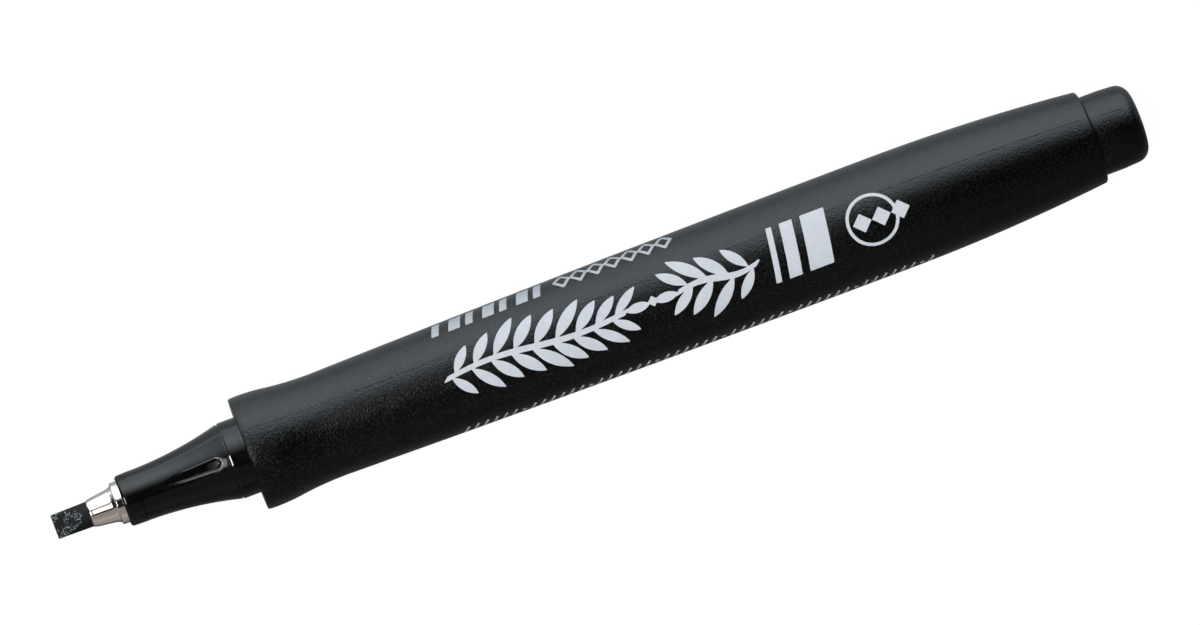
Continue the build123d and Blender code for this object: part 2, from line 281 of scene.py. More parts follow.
def link_light(light, piece, state="INCLUDE"):
    """Lets a light reach only one piece, or with EXCLUDE every piece but that one."""
    receivers = bpy.data.collections.new(light.name + "_receivers")
    receivers.objects.link(piece)
    receivers.collection_objects[0].light_linking.link_state = state
    light.light_linking.receiver_collection = receivers


def build_lights(section, ferrule):
    """A broad fill, a softbox beyond the tip, and a slim glint; the ferrule has weaker ones of its own."""
    add_light("fill", *FILL, FILL_LEVEL).visible_glossy = False
    link_light(add_light("tip_box", *TIP_BOX, TIP_BOX_LEVEL), ferrule, "EXCLUDE")
    link_light(add_light("glint", *GLINT, GLINT_LEVEL), section)
    link_light(add_light("metal_tip_box", *TIP_BOX, METAL_TIP_BOX_LEVEL), ferrule)
    link_light(add_light("metal_glint", *GLINT, METAL_GLINT_LEVEL), ferrule)


# ---------------------------------------------------------------- materials


def millimetres(tree):
    """Object coordinates in millimetres: X is the station, Y and Z start at the pen's axis."""
    place = add_node(tree, "TexCoord").outputs["Object"]
    centred = vector_node(tree, "SUBTRACT", place, (TIP, 0, AXIS_HEIGHT))
    settings = {"operation": "SCALE"}
    return add_node(tree, "VectorMath", settings, _0=centred, Scale=1 / MM).outputs[0]


def new_material(name, colour, roughness, metallic=0.0, **uniform):
    """A material with plain values, its node tree, and the coordinates for the patterns that vary it."""
    material = bpy.data.materials.new(name)
    material.use_nodes = True
    tree = material.node_tree
    shader = tree.nodes["Principled BSDF"]
    shader.inputs["Base Color"].default_value = colour
    shader.inputs["Roughness"].default_value = roughness
    shader.inputs["Metallic"].default_value = metallic
    for key, value in uniform.items():
        shader.inputs[key.replace("_", " ")].default_value = value
    return material, tree, millimetres(tree)


def vary(tree, **sockets):
    """Links outputs of nodes to inputs of the material's shader."""
    for key, socket in sockets.items():
        tree.links.new(socket, tree.nodes["Principled BSDF"].inputs[key.replace("_", " ")])


def noise(tree, place, scale, detail, roughness=0.5):
    """A noise value between 0 and 1; scale is in features per millimetre."""
    inputs = {"Vector": place, "Scale": scale, "Detail": detail, "Roughness": roughness}
    return add_node(tree, "TexNoise", **inputs).outputs[0]


def mix_colour(tree, factor, first, second):
    """A blend of two colours."""
    node = add_node(tree, "Mix", {"data_type": "RGBA"}, _0=factor, _6=first, _7=second)
    return node.outputs[2]


def bump(tree, height, depth, under=None):
    """A bump normal; depth in millimetres is the height from 0 to 1 in the pattern."""
    inputs = {"Height": height, "Distance": depth * MM, "Strength": 1.0}
    if under is not None:
        inputs["Normal"] = under
    return add_node(tree, "Bump", **inputs).outputs[0]


GRAIN_END = (103.0, 109.0)  # stations over which the barrel's grain turns finer and its painted sparkle fades
DULL_MIDDLE, DULL_REACH, DULL_ROUGHNESS = 20.4, (0.85, 1.25), 0.16  # round the air channel's rear end


def matte_black_plastic():
    """Spark-eroded black moulding: a fine even grain that sparkles where the light rakes it, and pale dots
    painted into its colour as more sparkle.
    """
    material, tree, place = new_material(
        "matte_black_plastic", grey(0.0024, -0.08), 0.26, Specular_IOR_Level=0.26
    )
    along, _, _ = split(tree, place)
    coarse = remap(tree, along, *GRAIN_END, 1.0, 0.75, smooth=True)
    grain = product(tree, noise(tree, place, scale=3.9, detail=1.0), coarse)
    pits = product(tree, noise(tree, place, scale=8.0, detail=1.0), coarse)
    normal = bump(tree, pits, depth=0.02, under=bump(tree, grain, depth=0.06))
    polish = remap(tree, noise(tree, place, scale=0.12, detail=3.0), 0.3, 0.7, 0.23, 0.29)
    # painted sparkle: pale dots in the colour on the cells' crests, fewer towards the rear
    cells = add_node(tree, "TexVoronoi", Vector=place, Scale=4.3)
    uneven = add_node(tree, "SeparateColor", Color=cells.outputs["Color"]).outputs[0]
    painted_sparkle_dots = remap(tree, cells.outputs["Distance"], 0.52, 0.18)
    painted_sparkle_dots = product(tree, painted_sparkle_dots, remap(tree, uneven, 0.25, 1.0))
    shown = product(tree, painted_sparkle_dots, remap(tree, along, *GRAIN_END, 1.0, 0.55, smooth=True))
    tone = mix_colour(tree, shown, grey(0.0006, -0.10), grey(0.020, -0.12))
    vary(tree, Normal=normal, Roughness=polish, Base_Color=tone)
    return material


def gloss_black_plastic():
    """Polished black moulding with the faint swell of shrinkage, duller round the channels' rear ends."""
    material, tree, place = new_material(
        "gloss_black_plastic", grey(0.0012, -0.02), 0.09, Specular_IOR_Level=0.26
    )
    swell = noise(tree, place, scale=0.35, detail=1.0)
    specks = noise(tree, place, scale=5.0, detail=1.0)
    normal = bump(tree, specks, depth=0.0012, under=bump(tree, swell, depth=0.02))
    away = vector_node(tree, "DISTANCE", vector_node(tree, "MULTIPLY", place, (1, 1, 0)), (DULL_MIDDLE, 0, 0))
    dull = remap(tree, away, *DULL_REACH, DULL_ROUGHNESS, 0, smooth=True)
    polish = math_node(tree, "ADD", remap(tree, specks, 0.3, 0.7, 0.08, 0.13), dull)
    tone = mix_colour(tree, swell, grey(0.0006), grey(0.0016))
    vary(tree, Normal=normal, Roughness=polish, Base_Color=tone)
    return material


def plated_metal():
    """Bright nickel over drawn brass, with the faint rings of its forming."""
    colour = (0.80, 0.745, 0.70, 1)
    material, tree, place = new_material("plated_metal", colour, 0.15, metallic=1.0)
    rings = noise(tree, vector_node(tree, "MULTIPLY", place, (9.0, 0.6, 0.6)), scale=1.0, detail=3.0)
    polish = remap(tree, rings, 0.3, 0.7, 0.05, 0.09)
    stain = noise(tree, place, scale=0.8, detail=3.0)
    tone = mix_colour(tree, stain, (0.94, 0.81, 0.745, 1), (0.985, 0.88, 0.82, 1))
    vary(tree, Normal=bump(tree, rings, depth=0.0012), Roughness=polish, Base_Color=tone)
    return material


def nib_fibre():
    """Bonded black fibre: lengthwise on the rod, and pale cut fibre ends on the facets."""
    material, tree, place = new_material("nib_fibre", grey(0.02), 0.7, Specular_IOR_Level=0.16)
    _, across, height = split(tree, place)
    flat = add_node(tree, "CombineXYZ", Y=across, Z=height).outputs[0]
    from_axis = vector_node(tree, "LENGTH", flat)
    on_facet = remap(tree, from_axis, 1.52, 1.47)
    bent = add_node(tree, "TexNoise", Vector=place, Scale=1.5, Detail=1.0).outputs["Color"]
    swirl = vector_node(tree, "ADD", place, bent)
    strokes = add_node(tree, "TexVoronoi", Vector=swirl, Scale=4.6)
    dots = remap(tree, strokes.outputs["Distance"], 0.46, 0.30)
    patches = noise(tree, place, scale=1.3, detail=1.0)
    crowd = remap(tree, from_axis, 0.55, 1.40, -0.16, 0.17)
    some = remap(tree, math_node(tree, "ADD", patches, crowd), 0.36, 0.62)
    speck = product(tree, dots, some, on_facet)
    strands = noise(tree, vector_node(tree, "MULTIPLY", place, (0.5, 9.0, 9.0)), scale=1.0, detail=2.0)
    base = mix_colour(tree, strands, grey(0.004), grey(0.014, -0.05))
    tone = mix_colour(tree, speck, base, (0.27, 0.32, 0.34, 1))
    relief = math_node(tree, "ADD", product(tree, dots, on_facet), strands)
    vary(tree, Normal=bump(tree, relief, depth=0.02), Base_Color=tone)
    return material


def reservoir_fibre():
    """Polyester fibres soaked with ink, running lengthwise."""
    material, tree, place = new_material("reservoir_fibre", grey(0.05), 0.8)
    strands = noise(tree, vector_node(tree, "MULTIPLY", place, (0.3, 8.0, 8.0)), scale=1.0, detail=3.0)
    soaked = noise(tree, place, scale=0.15, detail=3.0)
    wet = mix_colour(tree, strands, grey(0.012), grey(0.05))
    dry = mix_colour(tree, strands, grey(0.10), grey(0.22))
    tone = mix_colour(tree, soaked, wet, dry)
    vary(tree, Normal=bump(tree, strands, depth=0.04), Base_Color=tone)
    return material


def clear_film():
    """Thin clear polypropylene film with faint creases."""
    material, tree, place = new_material(
        "clear_film", grey(0.85), 0.2, Transmission_Weight=0.85, IOR=1.49
    )
    creases = noise(tree, place, scale=0.5, detail=3.0)
    polish = remap(tree, creases, 0.3, 0.7, 0.12, 0.32)
    vary(tree, Normal=bump(tree, creases, depth=0.03), Roughness=polish)
    return material


def natural_plastic():
    """Uncoloured, slightly milky moulding."""
    material, tree, place = new_material(
        "natural_plastic", (0.72, 0.70, 0.64, 1), 0.35, Subsurface_Weight=0.2, Subsurface_Radius=(MM, MM, MM)
    )
    cloud = noise(tree, place, scale=0.9, detail=2.0)
    tone = mix_colour(tree, cloud, (0.66, 0.64, 0.58, 1), (0.76, 0.74, 0.69, 1))
    vary(tree, Normal=bump(tree, cloud, depth=0.01), Base_Color=tone)
    return material


def white_print():
    """Pad-printed white ink, a little cool and slightly uneven in cover."""
    material, tree, place = new_material(
        "white_print", (0.60, 0.64, 0.70, 1), 0.42, Specular_IOR_Level=0.25
    )
    cover = noise(tree, place, scale=1.3, detail=4.0, roughness=0.6)
    fine = noise(tree, place, scale=8.0, detail=1.0)
    tone = mix_colour(tree, cover, (0.53, 0.575, 0.64, 1), (0.68, 0.715, 0.76, 1))
    vary(tree, Normal=bump(tree, fine, depth=0.006), Base_Color=tone)
    return material


MATERIALS = {
    "barrel": matte_black_plastic,
    "end_plug": matte_black_plastic,
    "grip_section": gloss_black_plastic,
    "ferrule": plated_metal,
    "nib": nib_fibre,
    "nib_bush": natural_plastic,
    "ink_reservoir": reservoir_fibre,
    "reservoir_film": clear_film,
}


def finish_cad_nodes():
    """Gives every CAD node its material; nodes of one material share it."""
    made = {}
    for name, make in MATERIALS.items():
        if make not in made:
            made[make] = make()
        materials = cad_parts[name].data.materials
        materials.clear()
        materials.append(made[make])
    return made


# ---------------------------------------------------------------- turned pieces

ARC_STEP = 12.0  # degrees between the points of a small fillet
MERGE = 2e-7  # metres
SHARP = 28.0  # degrees between faces from which an edge is shown sharp


def rounded(corners):
    """A closed profile whose corners (station, radius, fillet) are rounded; the fillet may be left out."""
    points = []
    for index, corner in enumerate(corners):
        here = np.array(corner[:2], float)
        if len(corner) == 2:
            points.append(tuple(here))
            continue
        size = corner[2]
        back = np.array(corners[index - 1][:2]) - here
        ahead = np.array(corners[(index + 1) % len(corners)][:2]) - here
        back, ahead = back / np.hypot(*back), ahead / np.hypot(*ahead)
        half = acos(np.clip(back @ ahead, -1, 1)) / 2
        middle = (back + ahead) / np.hypot(*(back + ahead))
        centre = here + middle * size / sin(half)
        start, end = (here + side * size / tan(half) - centre for side in (back, ahead))
        first = atan2(start[1], start[0])
        sweep = (atan2(end[1], end[0]) - first + pi) % (2 * pi) - pi
        steps = max(2, ceil(abs(degrees(sweep)) / ARC_STEP))
        for step in range(steps + 1):
            angle = first + sweep * step / steps
            points.append((centre[0] + size * cos(angle), centre[1] + size * sin(angle)))
    return points


def arc(start, heading, radius, turn, steps):
    """Points of an arc after its start, and the heading at its end, in degrees; left is positive."""
    side = 1 if turn > 0 else -1
    first = radians(heading) - side * pi / 2
    centre = (start[0] - radius * cos(first), start[1] - radius * sin(first))
    points = []
    for step in range(1, steps + 1):
        angle = first + radians(turn) * step / steps
        points.append((centre[0] + radius * cos(angle), centre[1] + radius * sin(angle)))
    return points, heading + turn


def even_turns(count):
    """Angles in degrees that go once round the pen."""
    return list(np.arange(count) * 360 / count)


def turned(profile, turns, closed=True, shape=None):
    """Vertices and faces of a profile turned about the pen's axis. shape may move a point."""
    along, radius = (np.array(column, float)[:, None] for column in zip(*profile))
    angle = np.radians(np.array(sorted(turns)))[None, :]
    size = angle.size
    along = np.broadcast_to(along, (len(profile), size)).copy()
    across, height = radius * np.sin(angle), radius * np.cos(angle)
    if shape:
        along, across, height = shape(along, across, height)
    vertices = np.stack([TIP + along * MM, across * MM, AXIS_HEIGHT + height * MM], -1).reshape(-1, 3)
    faces = []
    for ring in range(len(profile) if closed else len(profile) - 1):
        here, there = ring * size, (ring + 1) % len(profile) * size
        for step in range(size):
            after = (step + 1) % size
            faces.append((here + step, here + after, there + after, there + step))
    if not closed:
        faces.append(tuple(range(size)))
        faces.append(tuple(range((len(profile) - 1) * size, len(profile) * size)))
    return vertices, faces


def add_piece(name, vertices, faces, material, body, slot, replaced=None, sharp=SHARP):
    """Makes a clean smooth-shaded object of some faces, hangs it under its body, and hides the CAD node it
    replaces.
    """
    mesh = bpy.data.meshes.new(name)
    mesh.from_pydata([tuple(vertex) for vertex in vertices], [], faces)
    work = bmesh.new()
    work.from_mesh(mesh)
    bmesh.ops.remove_doubles(work, verts=work.verts, dist=MERGE)
    bmesh.ops.dissolve_degenerate(work, dist=MERGE, edges=work.edges)
    bmesh.ops.recalc_face_normals(work, faces=work.faces)
    work.to_mesh(mesh)
    work.free()
    mesh.shade_smooth()
    mesh.set_sharp_from_angle(angle=radians(sharp))
    mesh.materials.append(material)
    piece = bpy.data.objects.new(name, mesh)
    bpy.context.scene.collection.objects.link(piece)
    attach(piece, body)
    if replaced:
        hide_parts(replaced)
    return piece


def soft_min(first, second, size):
    """The lower of two arrays, with the corner between them rounded."""
    near = np.maximum(size - np.abs(first - second), 0) / size
    return np.minimum(first, second) - near * near * size / 4


# ---------------------------------------------------------------- barrel

BELLY, BELLY_RADIUS = 106.0, (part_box("barrel")[1].z - AXIS_HEIGHT) / MM
BARREL_STEPS = 180  # points round the pen
LIP_INSET, LIP_EDGE, MOUTH_EDGE, REAR_EDGE = 0.06, 0.10, 0.05, 0.35
BORE = 4.60
FRONT_MOUTH, REAR_MOUTH = 0.16, 0.10
RIB_RADIUS, RIB_COUNT, RIB_START, RIB_END = 4.42, 6, 40.0, 119.0
RIB_TURN, RIB_PITCH = 30.0, 360 / RIB_COUNT
RIB_HALF, RIB_FOOT = 0.40, 0.47  # half widths of a rib's crest and foot
CLOSE = 0.01  # millimetres within which two radii are the same


def barrel_outline():
    """The barrel's outside from its front face to its rear, along the same arcs as the CAD part."""
    side, heading = arc((BELLY, BELLY_RADIUS), 180, 3826.0, 1.06, 24)
    waist, heading = arc(side[-1], heading, 42.0, -8.96, 9)
    lip, heading = arc(waist[-1], heading, 22.0, 10.98, 11)
    tail, heading = arc((BELLY, BELLY_RADIUS), 0, 250.0, -5.90, 18)
    return lip[::-1] + waist[::-1] + side[::-1] + [(BELLY, BELLY_RADIUS)] + tail


OUTLINE = barrel_outline()


def barrel_radius(along):
    """The barrel's outside radius in millimetres at a station."""
    return np.interp(along, *zip(*OUTLINE))


def rib_turns():
    """Angles at the feet and crest edges of the ribs inside the barrel."""
    turns = []
    for rib in range(RIB_COUNT):
        middle = RIB_TURN + RIB_PITCH * rib
        for reach in (degrees(RIB_FOOT / BORE), degrees(RIB_HALF / RIB_RADIUS)):
            turns += [(middle - reach) % 360, (middle + reach) % 360]
    return turns


def raise_ribs(along, across, height):
    """Lifts the ribs out of the bore between their two ends."""
    radius = np.hypot(across, height)
    from_rib = (np.degrees(np.arctan2(across, height)) - RIB_TURN) % RIB_PITCH
    from_rib = np.minimum(from_rib, RIB_PITCH - from_rib)
    crest = from_rib < degrees((RIB_HALF + CLOSE) / RIB_RADIUS)
    inside = np.abs(radius - RIB_RADIUS) < CLOSE
    wanted = np.where(inside & ~crest, BORE, radius)
    return along, across * wanted / radius, height * wanted / radius


def build_barrel(material):
    """The barrel: rounded front lip and rear rim outside, ribbed bore inside."""
    face, rim = OUTLINE[-1]
    profile = rounded(
        [
            (BARREL_FRONT, BORE + FRONT_MOUTH, MOUTH_EDGE),
            (BARREL_FRONT, OUTLINE[0][1] - LIP_INSET, LIP_EDGE),
            *OUTLINE[1:-2],
            (face, rim, REAR_EDGE),
            (face, BORE + REAR_MOUTH),
            (face - REAR_MOUTH, BORE),
            (RIB_END, BORE),
            (RIB_END, RIB_RADIUS),
            (RIB_START, RIB_RADIUS),
            (RIB_START, BORE),
            (BARREL_FRONT + FRONT_MOUTH, BORE),
        ]
    )
    mesh = turned(profile, even_turns(BARREL_STEPS) + rib_turns(), shape=raise_ribs)
    add_piece("barrel_shell", *mesh, material, BODY, "matte_black_plastic", "barrel")


# ---------------------------------------------------------------- end plug

PLUG_STEPS = 144
PLUG_RADIUS, PLUG_LAND_END, PLUG_LAND_EDGE = 4.92, 134.2, 3.0
PLUG_RIM_RADIUS, PLUG_CORNER = 4.72, 1.75
DOME_RADIUS, DOME_STEPS, DOME_SHARE = 28.0, 9, 0.62  # the share of it that the rounded rim leaves
DOME_TURN = asin(PLUG_RIM_RADIUS / DOME_RADIUS)  # radians from the axis to where dome and taper meet
PLUG_SKIRT, PLUG_WALL, PLUG_CUP_END = 4.57, 0.95, 136.2
PLUG_SEAT_GAP, PLUG_FRONT_EDGE = 0.02, 0.14
CUP_CORNER, CUP_EDGE, LEAD_EDGE, LEAD_CORNER = 0.3, 0.1, 0.08, 0.3
LEAD_IN, LEAD_LENGTH = 0.25, 0.5
PLUG_SKIRT_FRONT = 122.6
FIN_COUNT, FIN_WIDTH, FIN_FRONT, FIN_INNER, FIN_OUTER = 4, 0.8, 121.5, 1.9, 4.2
FIN_OVERLAP, FIN_EDGE = 0.1, 0.12  # how far a fin runs into the cup's end, and its bevel
BLOCK_FACES = ((0, 1, 2, 3), (4, 7, 6, 5), (0, 4, 5, 1), (1, 5, 6, 2), (2, 6, 7, 3), (3, 7, 4, 0))


def dome_point(turn):
    """The station and radius on the plug's domed end at an angle in radians from the axis."""
    return station("end_plug", 1) - DOME_RADIUS * (1 - cos(turn)), DOME_RADIUS * sin(turn)


def build_plug(material):
    """The end plug: domed stud with a broad rounded rim over a hollow skirt."""
    seat = BARREL_REAR + PLUG_SEAT_GAP
    cup = PLUG_SKIRT - PLUG_WALL
    turns = [DOME_TURN * DOME_SHARE * step / DOME_STEPS for step in range(DOME_STEPS, -1, -1)]
    profile = rounded(
        [
            (PLUG_CUP_END, 0),
            (PLUG_CUP_END, cup, CUP_CORNER),
            (PLUG_SKIRT_FRONT, cup, CUP_EDGE),
            (PLUG_SKIRT_FRONT, PLUG_SKIRT - LEAD_IN, LEAD_EDGE),
            (PLUG_SKIRT_FRONT + LEAD_LENGTH, PLUG_SKIRT, LEAD_CORNER),
            (seat, PLUG_SKIRT),
            (seat, PLUG_RADIUS, PLUG_FRONT_EDGE),
            (PLUG_LAND_END, PLUG_RADIUS, PLUG_LAND_EDGE),
            (*dome_point(DOME_TURN), PLUG_CORNER),
            *(dome_point(turn) for turn in turns),
        ]
    )
    vertices, faces = turned(profile, even_turns(PLUG_STEPS), closed=False)
    both_ends_on_axis = faces[:-2]
    slot = "matte_black_plastic"
    add_piece("end_plug_shell", vertices, both_ends_on_axis, material, PLUG_BODY, slot, "end_plug")


def plug_radius(along):
    """The plug's outside radius in millimetres on its straight stretch and taper."""
    return np.interp(along, (PLUG_LAND_END, dome_point(DOME_TURN)[0]), (PLUG_RADIUS, PLUG_RIM_RADIUS))


def build_fins(material):
    """The plates inside the plug that keep the reservoir from sliding back."""
    vertices, faces = [], []
    for fin in range(FIN_COUNT):
        turn = radians(360 * fin / FIN_COUNT)
        outward, sideways = np.array((sin(turn), cos(turn))), np.array((cos(turn), -sin(turn)))
        base = len(vertices)
        for along in (FIN_FRONT, PLUG_CUP_END + FIN_OVERLAP):
            for out, side in ((FIN_INNER, -1), (FIN_OUTER, -1), (FIN_OUTER, 1), (FIN_INNER, 1)):
                across, height = outward * out + sideways * side * FIN_WIDTH / 2
                vertices.append((TIP + along * MM, across * MM, AXIS_HEIGHT + height * MM))
        faces += [tuple(base + corner for corner in face) for face in BLOCK_FACES]
    fins = add_piece("plug_fins", vertices, faces, material, PLUG_BODY, "matte_black_plastic")
    edge = fins.modifiers.new("edges", "BEVEL")
    edge.width, edge.segments = FIN_EDGE * MM, 3


# ---------------------------------------------------------------- front section

NOSE_RADIUS, NOSE_RIM, NOSE_BORE, NOSE_BORE_END, NOSE_MOUTH = 3.14, 0.40, 2.585, 19.4, 0.15
RING_END, RING_RADIUS, RING_STEP, RING_HALF, RING_EDGE = 10.70, 3.21, 0.03, 0.1, 0.3
FLARE_START, FLARE_RADIUS, FLARE_ARC, FLARE_LEAD, FLARE_TURN = 11.3, 3.195, 45.2, 1.0, 13.78
FLARE_STEPS = 140
SEAT_FRONT, SEAT_RADIUS, SEAT_GROOVE, SEAT_GROOVE_DEPTH = 22.18, 4.74, 0.14, 0.18
SEAT_LEAD, SEAT_LEAD_LENGTH = 0.06, 0.18  # the narrow facet behind the groove
CREST_EDGE, LEAD_FRONT_EDGE, LEAD_REAR_EDGE = 0.04, 0.01, 0.02
SKIRT_RADIUS, SKIRT_WALL = 4.57, 0.95
BEAD, BEAD_HEIGHT, BEAD_HALF, BEAD_EDGE = 30.0, 0.12, 0.45, 0.15
BANDS, BAND_DEPTH = ((23.02, 0.24), (23.60, 0.20), (24.02, 0.20)), 0.008  # middles and widths
BAND_STEPS = 8
WEB_REAR, WEB_FRONT = 24.2, 20.8  # where the hollow skirt ends, and where its floor meets the guide
WEB_RADIUS, GUIDE_RADIUS, GUIDE_BORE, GUIDE_END = 2.9, 2.35, 1.66, 31.0
CHANNEL_START, CHANNEL_END = 12.0, 20.75
CHANNEL_HALF, CHANNEL_FLOOR, CHANNEL_DRAFT = 0.37, 3.345, 11.0
RUNOUT_LENGTH, RUNOUT_RADIUS = 1.2, 9.0  # how the floor sweeps up at its rear end
CHANNEL_LIP, CHANNEL_FOOT = 0.08, 0.10  # how far the rim and the floor's edge are rounded
RIM_BEAD, RIM_BEAD_OUT, RIM_BEAD_WIDTH = 0.012, 0.40, 0.28
RIM_BEAD_START, RIM_BEAD_FULL = 17.0, 20.0
ROLL_WIDTH, ROLL_RADIUS, ROLL_DEPTH = 0.24, 0.30, 0.15  # how the skin rolls over into the channel
ROLL_OVERLAP, CHANNEL_MARGIN = 0.04, 0.05
CREST = SEAT_FRONT - SEAT_GROOVE  # the station where the flare ends
FINE_REACH, FINE_STEP = 17.0, 0.5  # degrees round the pen, over a channel
COARSE_START, COARSE_END, COARSE_STEP = 19.0, 161.5, 2.5  # and between the channels


def sink_channels(along, across, height):
    """Sinks the air channels into the top and bottom of the flare, with a low bead round each rim."""
    outside = np.hypot(across, height) > NOSE_RADIUS - CHANNEL_MARGIN
    in_flare = outside & (along > CHANNEL_START) & (along < CREST - CREST_EDGE / 2)
    front, rear = CHANNEL_START + CHANNEL_HALF, CHANNEL_END - CHANNEL_HALF
    beyond = np.maximum(np.maximum(along - rear, front - along), 0)
    from_floor = np.hypot(beyond, across) - CHANNEL_HALF
    slope = 1 / tan(radians(CHANNEL_DRAFT))
    runout = np.maximum(along - CHANNEL_END + RUNOUT_LENGTH, 0) ** 2 / (2 * RUNOUT_RADIUS)
    wall = CHANNEL_FLOOR - soft_min(-from_floor * slope, -runout, CHANNEL_FOOT)
    level = np.abs(height)
    lip = np.maximum(level - CHANNEL_FLOOR, 0) / slope
    rise = np.clip((along - RIM_BEAD_START) / (RIM_BEAD_FULL - RIM_BEAD_START), 0, 1)
    from_rim = from_floor - lip
    out = (from_rim - RIM_BEAD_OUT) / RIM_BEAD_WIDTH
    skin = level + RIM_BEAD * rise * rise * (3 - 2 * rise) * np.exp(-out * out)
    roll = np.clip(ROLL_WIDTH - from_rim, 0, ROLL_WIDTH + ROLL_OVERLAP) ** 2 / (2 * ROLL_RADIUS)
    skin = skin - roll * np.clip((level - CHANNEL_FLOOR) / ROLL_DEPTH, 0, 1)
    sunk = soft_min(skin, wall, CHANNEL_LIP)
    return along, across, np.where(in_flare, np.sign(height) * sunk, height)


def section_turns():
    """Angles for the section, close together over the air channels."""
    fine = np.arange(-FINE_REACH, FINE_REACH + FINE_STEP / 2, FINE_STEP)
    coarse = np.arange(COARSE_START, COARSE_END, COARSE_STEP)
    return list(fine % 360) + list(fine + 180) + list(coarse) + list(coarse + 180)


def band_groove(middle, width):
    """The corners of a shallow turned line round the cap seat."""
    steps = [step / BAND_STEPS for step in range(-BAND_STEPS, BAND_STEPS + 1)]
    depths = [BAND_DEPTH * (1 + cos(pi * step)) / 2 for step in steps]
    return [(middle + step * width / 2, SEAT_RADIUS - depth) for step, depth in zip(steps, depths)]


def build_section(material):
    """The front section: nose band, flare with air channels, grooved cap seat, and the hidden inside."""
    flare, _ = arc((FLARE_START, FLARE_RADIUS), FLARE_LEAD, FLARE_ARC, FLARE_TURN, FLARE_STEPS)
    seat, skirt = SEAT_RADIUS, SKIRT_RADIUS
    profile = rounded(
        [
            (NOSE_FRONT, NOSE_BORE + NOSE_MOUTH),
            (NOSE_FRONT, NOSE_RADIUS, NOSE_RIM),
            (RING_END - RING_HALF, RING_RADIUS, RING_EDGE),
            (RING_END + RING_HALF, RING_RADIUS - RING_STEP, RING_EDGE),
            (FLARE_START, FLARE_RADIUS),
            *flare[:-1],
            (CREST, flare[-1][1], CREST_EDGE),
            (CREST, seat - SEAT_GROOVE_DEPTH),
            (SEAT_FRONT, seat - SEAT_GROOVE_DEPTH),
            (SEAT_FRONT, seat - SEAT_LEAD, LEAD_FRONT_EDGE),
            (SEAT_FRONT + SEAT_LEAD_LENGTH, seat, LEAD_REAR_EDGE),
            *(corner for band in BANDS for corner in band_groove(*band)),
            (BARREL_FRONT, seat),
            (BARREL_FRONT, skirt),
            (BEAD - BEAD_HALF, skirt),
            (BEAD, skirt + BEAD_HEIGHT, BEAD_EDGE),
            (BEAD + BEAD_HALF, skirt),
            (SKIRT_END - LEAD_LENGTH, skirt),
            (SKIRT_END, skirt - LEAD_IN),
            (SKIRT_END, skirt - SKIRT_WALL),
            (WEB_REAR, skirt - SKIRT_WALL),
            (WEB_FRONT, WEB_RADIUS),
            (WEB_FRONT, GUIDE_RADIUS),
            (GUIDE_END, GUIDE_RADIUS),
            (GUIDE_END, GUIDE_BORE),
            (NOSE_BORE_END, GUIDE_BORE),
            (NOSE_BORE_END, NOSE_BORE),
            (NOSE_FRONT + NOSE_MOUTH, NOSE_BORE),
        ]
    )
    mesh = turned(profile, section_turns(), shape=sink_channels)
    return add_piece(
        "grip_section_shell", *mesh, material, BODY, "gloss_black_plastic", "grip_section"
    )


# ---------------------------------------------------------------- ferrule

FERRULE_STEPS, FERRULE_SHARP = 144, 40
FERRULE_WALL, FERRULE_LIP, FERRULE_LIP_LENGTH, FERRULE_MOUTH = 0.30, 1.63, 0.05, 0.01
FERRULE_SHOULDER, FERRULE_CONE_END, FERRULE_BEND_STEPS = (5.10, 1.77), (7.25, 2.05), 10
FERRULE_FOOT, FERRULE_FOOT_EDGE, FERRULE_CONE_EDGE = (0.06, 0.22), 0.10, 0.28  # where cone meets ring
FERRULE_RING_FRONT, FERRULE_RING_RADIUS, FERRULE_RING_EDGE = 7.78, 2.575, 0.16
NIB_BORE, NIB_BORE_END = 1.58, 5.9


def build_ferrule(material):
    """The drawn metal sleeve: rolled lip, cone, and the ring that runs into the nose."""
    shoulder, cone_end = FERRULE_SHOULDER, FERRULE_CONE_END
    heading = degrees(atan2(shoulder[1] - cone_end[1], shoulder[0] - cone_end[0]))
    to_lip = (FERRULE_FRONT + FERRULE_LIP_LENGTH - shoulder[0], FERRULE_LIP - shoulder[1])
    half_turn = (degrees(atan2(to_lip[1], to_lip[0])) - heading + 180) % 360 - 180
    bend = hypot(*to_lip) / (2 * sin(radians(abs(half_turn))))
    lip, _ = arc(shoulder, heading, bend, 2 * half_turn, FERRULE_BEND_STEPS)
    inner = FERRULE_RING_RADIUS - FERRULE_WALL
    profile = rounded(
        [
            (FERRULE_FRONT, NIB_BORE + FERRULE_MOUTH),
            *lip[::-1],
            shoulder,
            (*cone_end, FERRULE_CONE_EDGE),
            (FERRULE_RING_FRONT - FERRULE_FOOT[0], cone_end[1] + FERRULE_FOOT[1], FERRULE_FOOT_EDGE),
            (FERRULE_RING_FRONT, FERRULE_RING_RADIUS, FERRULE_RING_EDGE),
            (FERRULE_END, FERRULE_RING_RADIUS),
            (FERRULE_END, inner),
            (FERRULE_RING_FRONT + FERRULE_WALL, inner),
            (cone_end[0], cone_end[1] - FERRULE_WALL),
            (NIB_BORE_END, NIB_BORE),
        ]
    )
    mesh = turned(profile, even_turns(FERRULE_STEPS))
    return add_piece(
        "ferrule_sleeve", *mesh, material, BODY, "plated_metal", "ferrule", sharp=FERRULE_SHARP
    )


# ---------------------------------------------------------------- nib

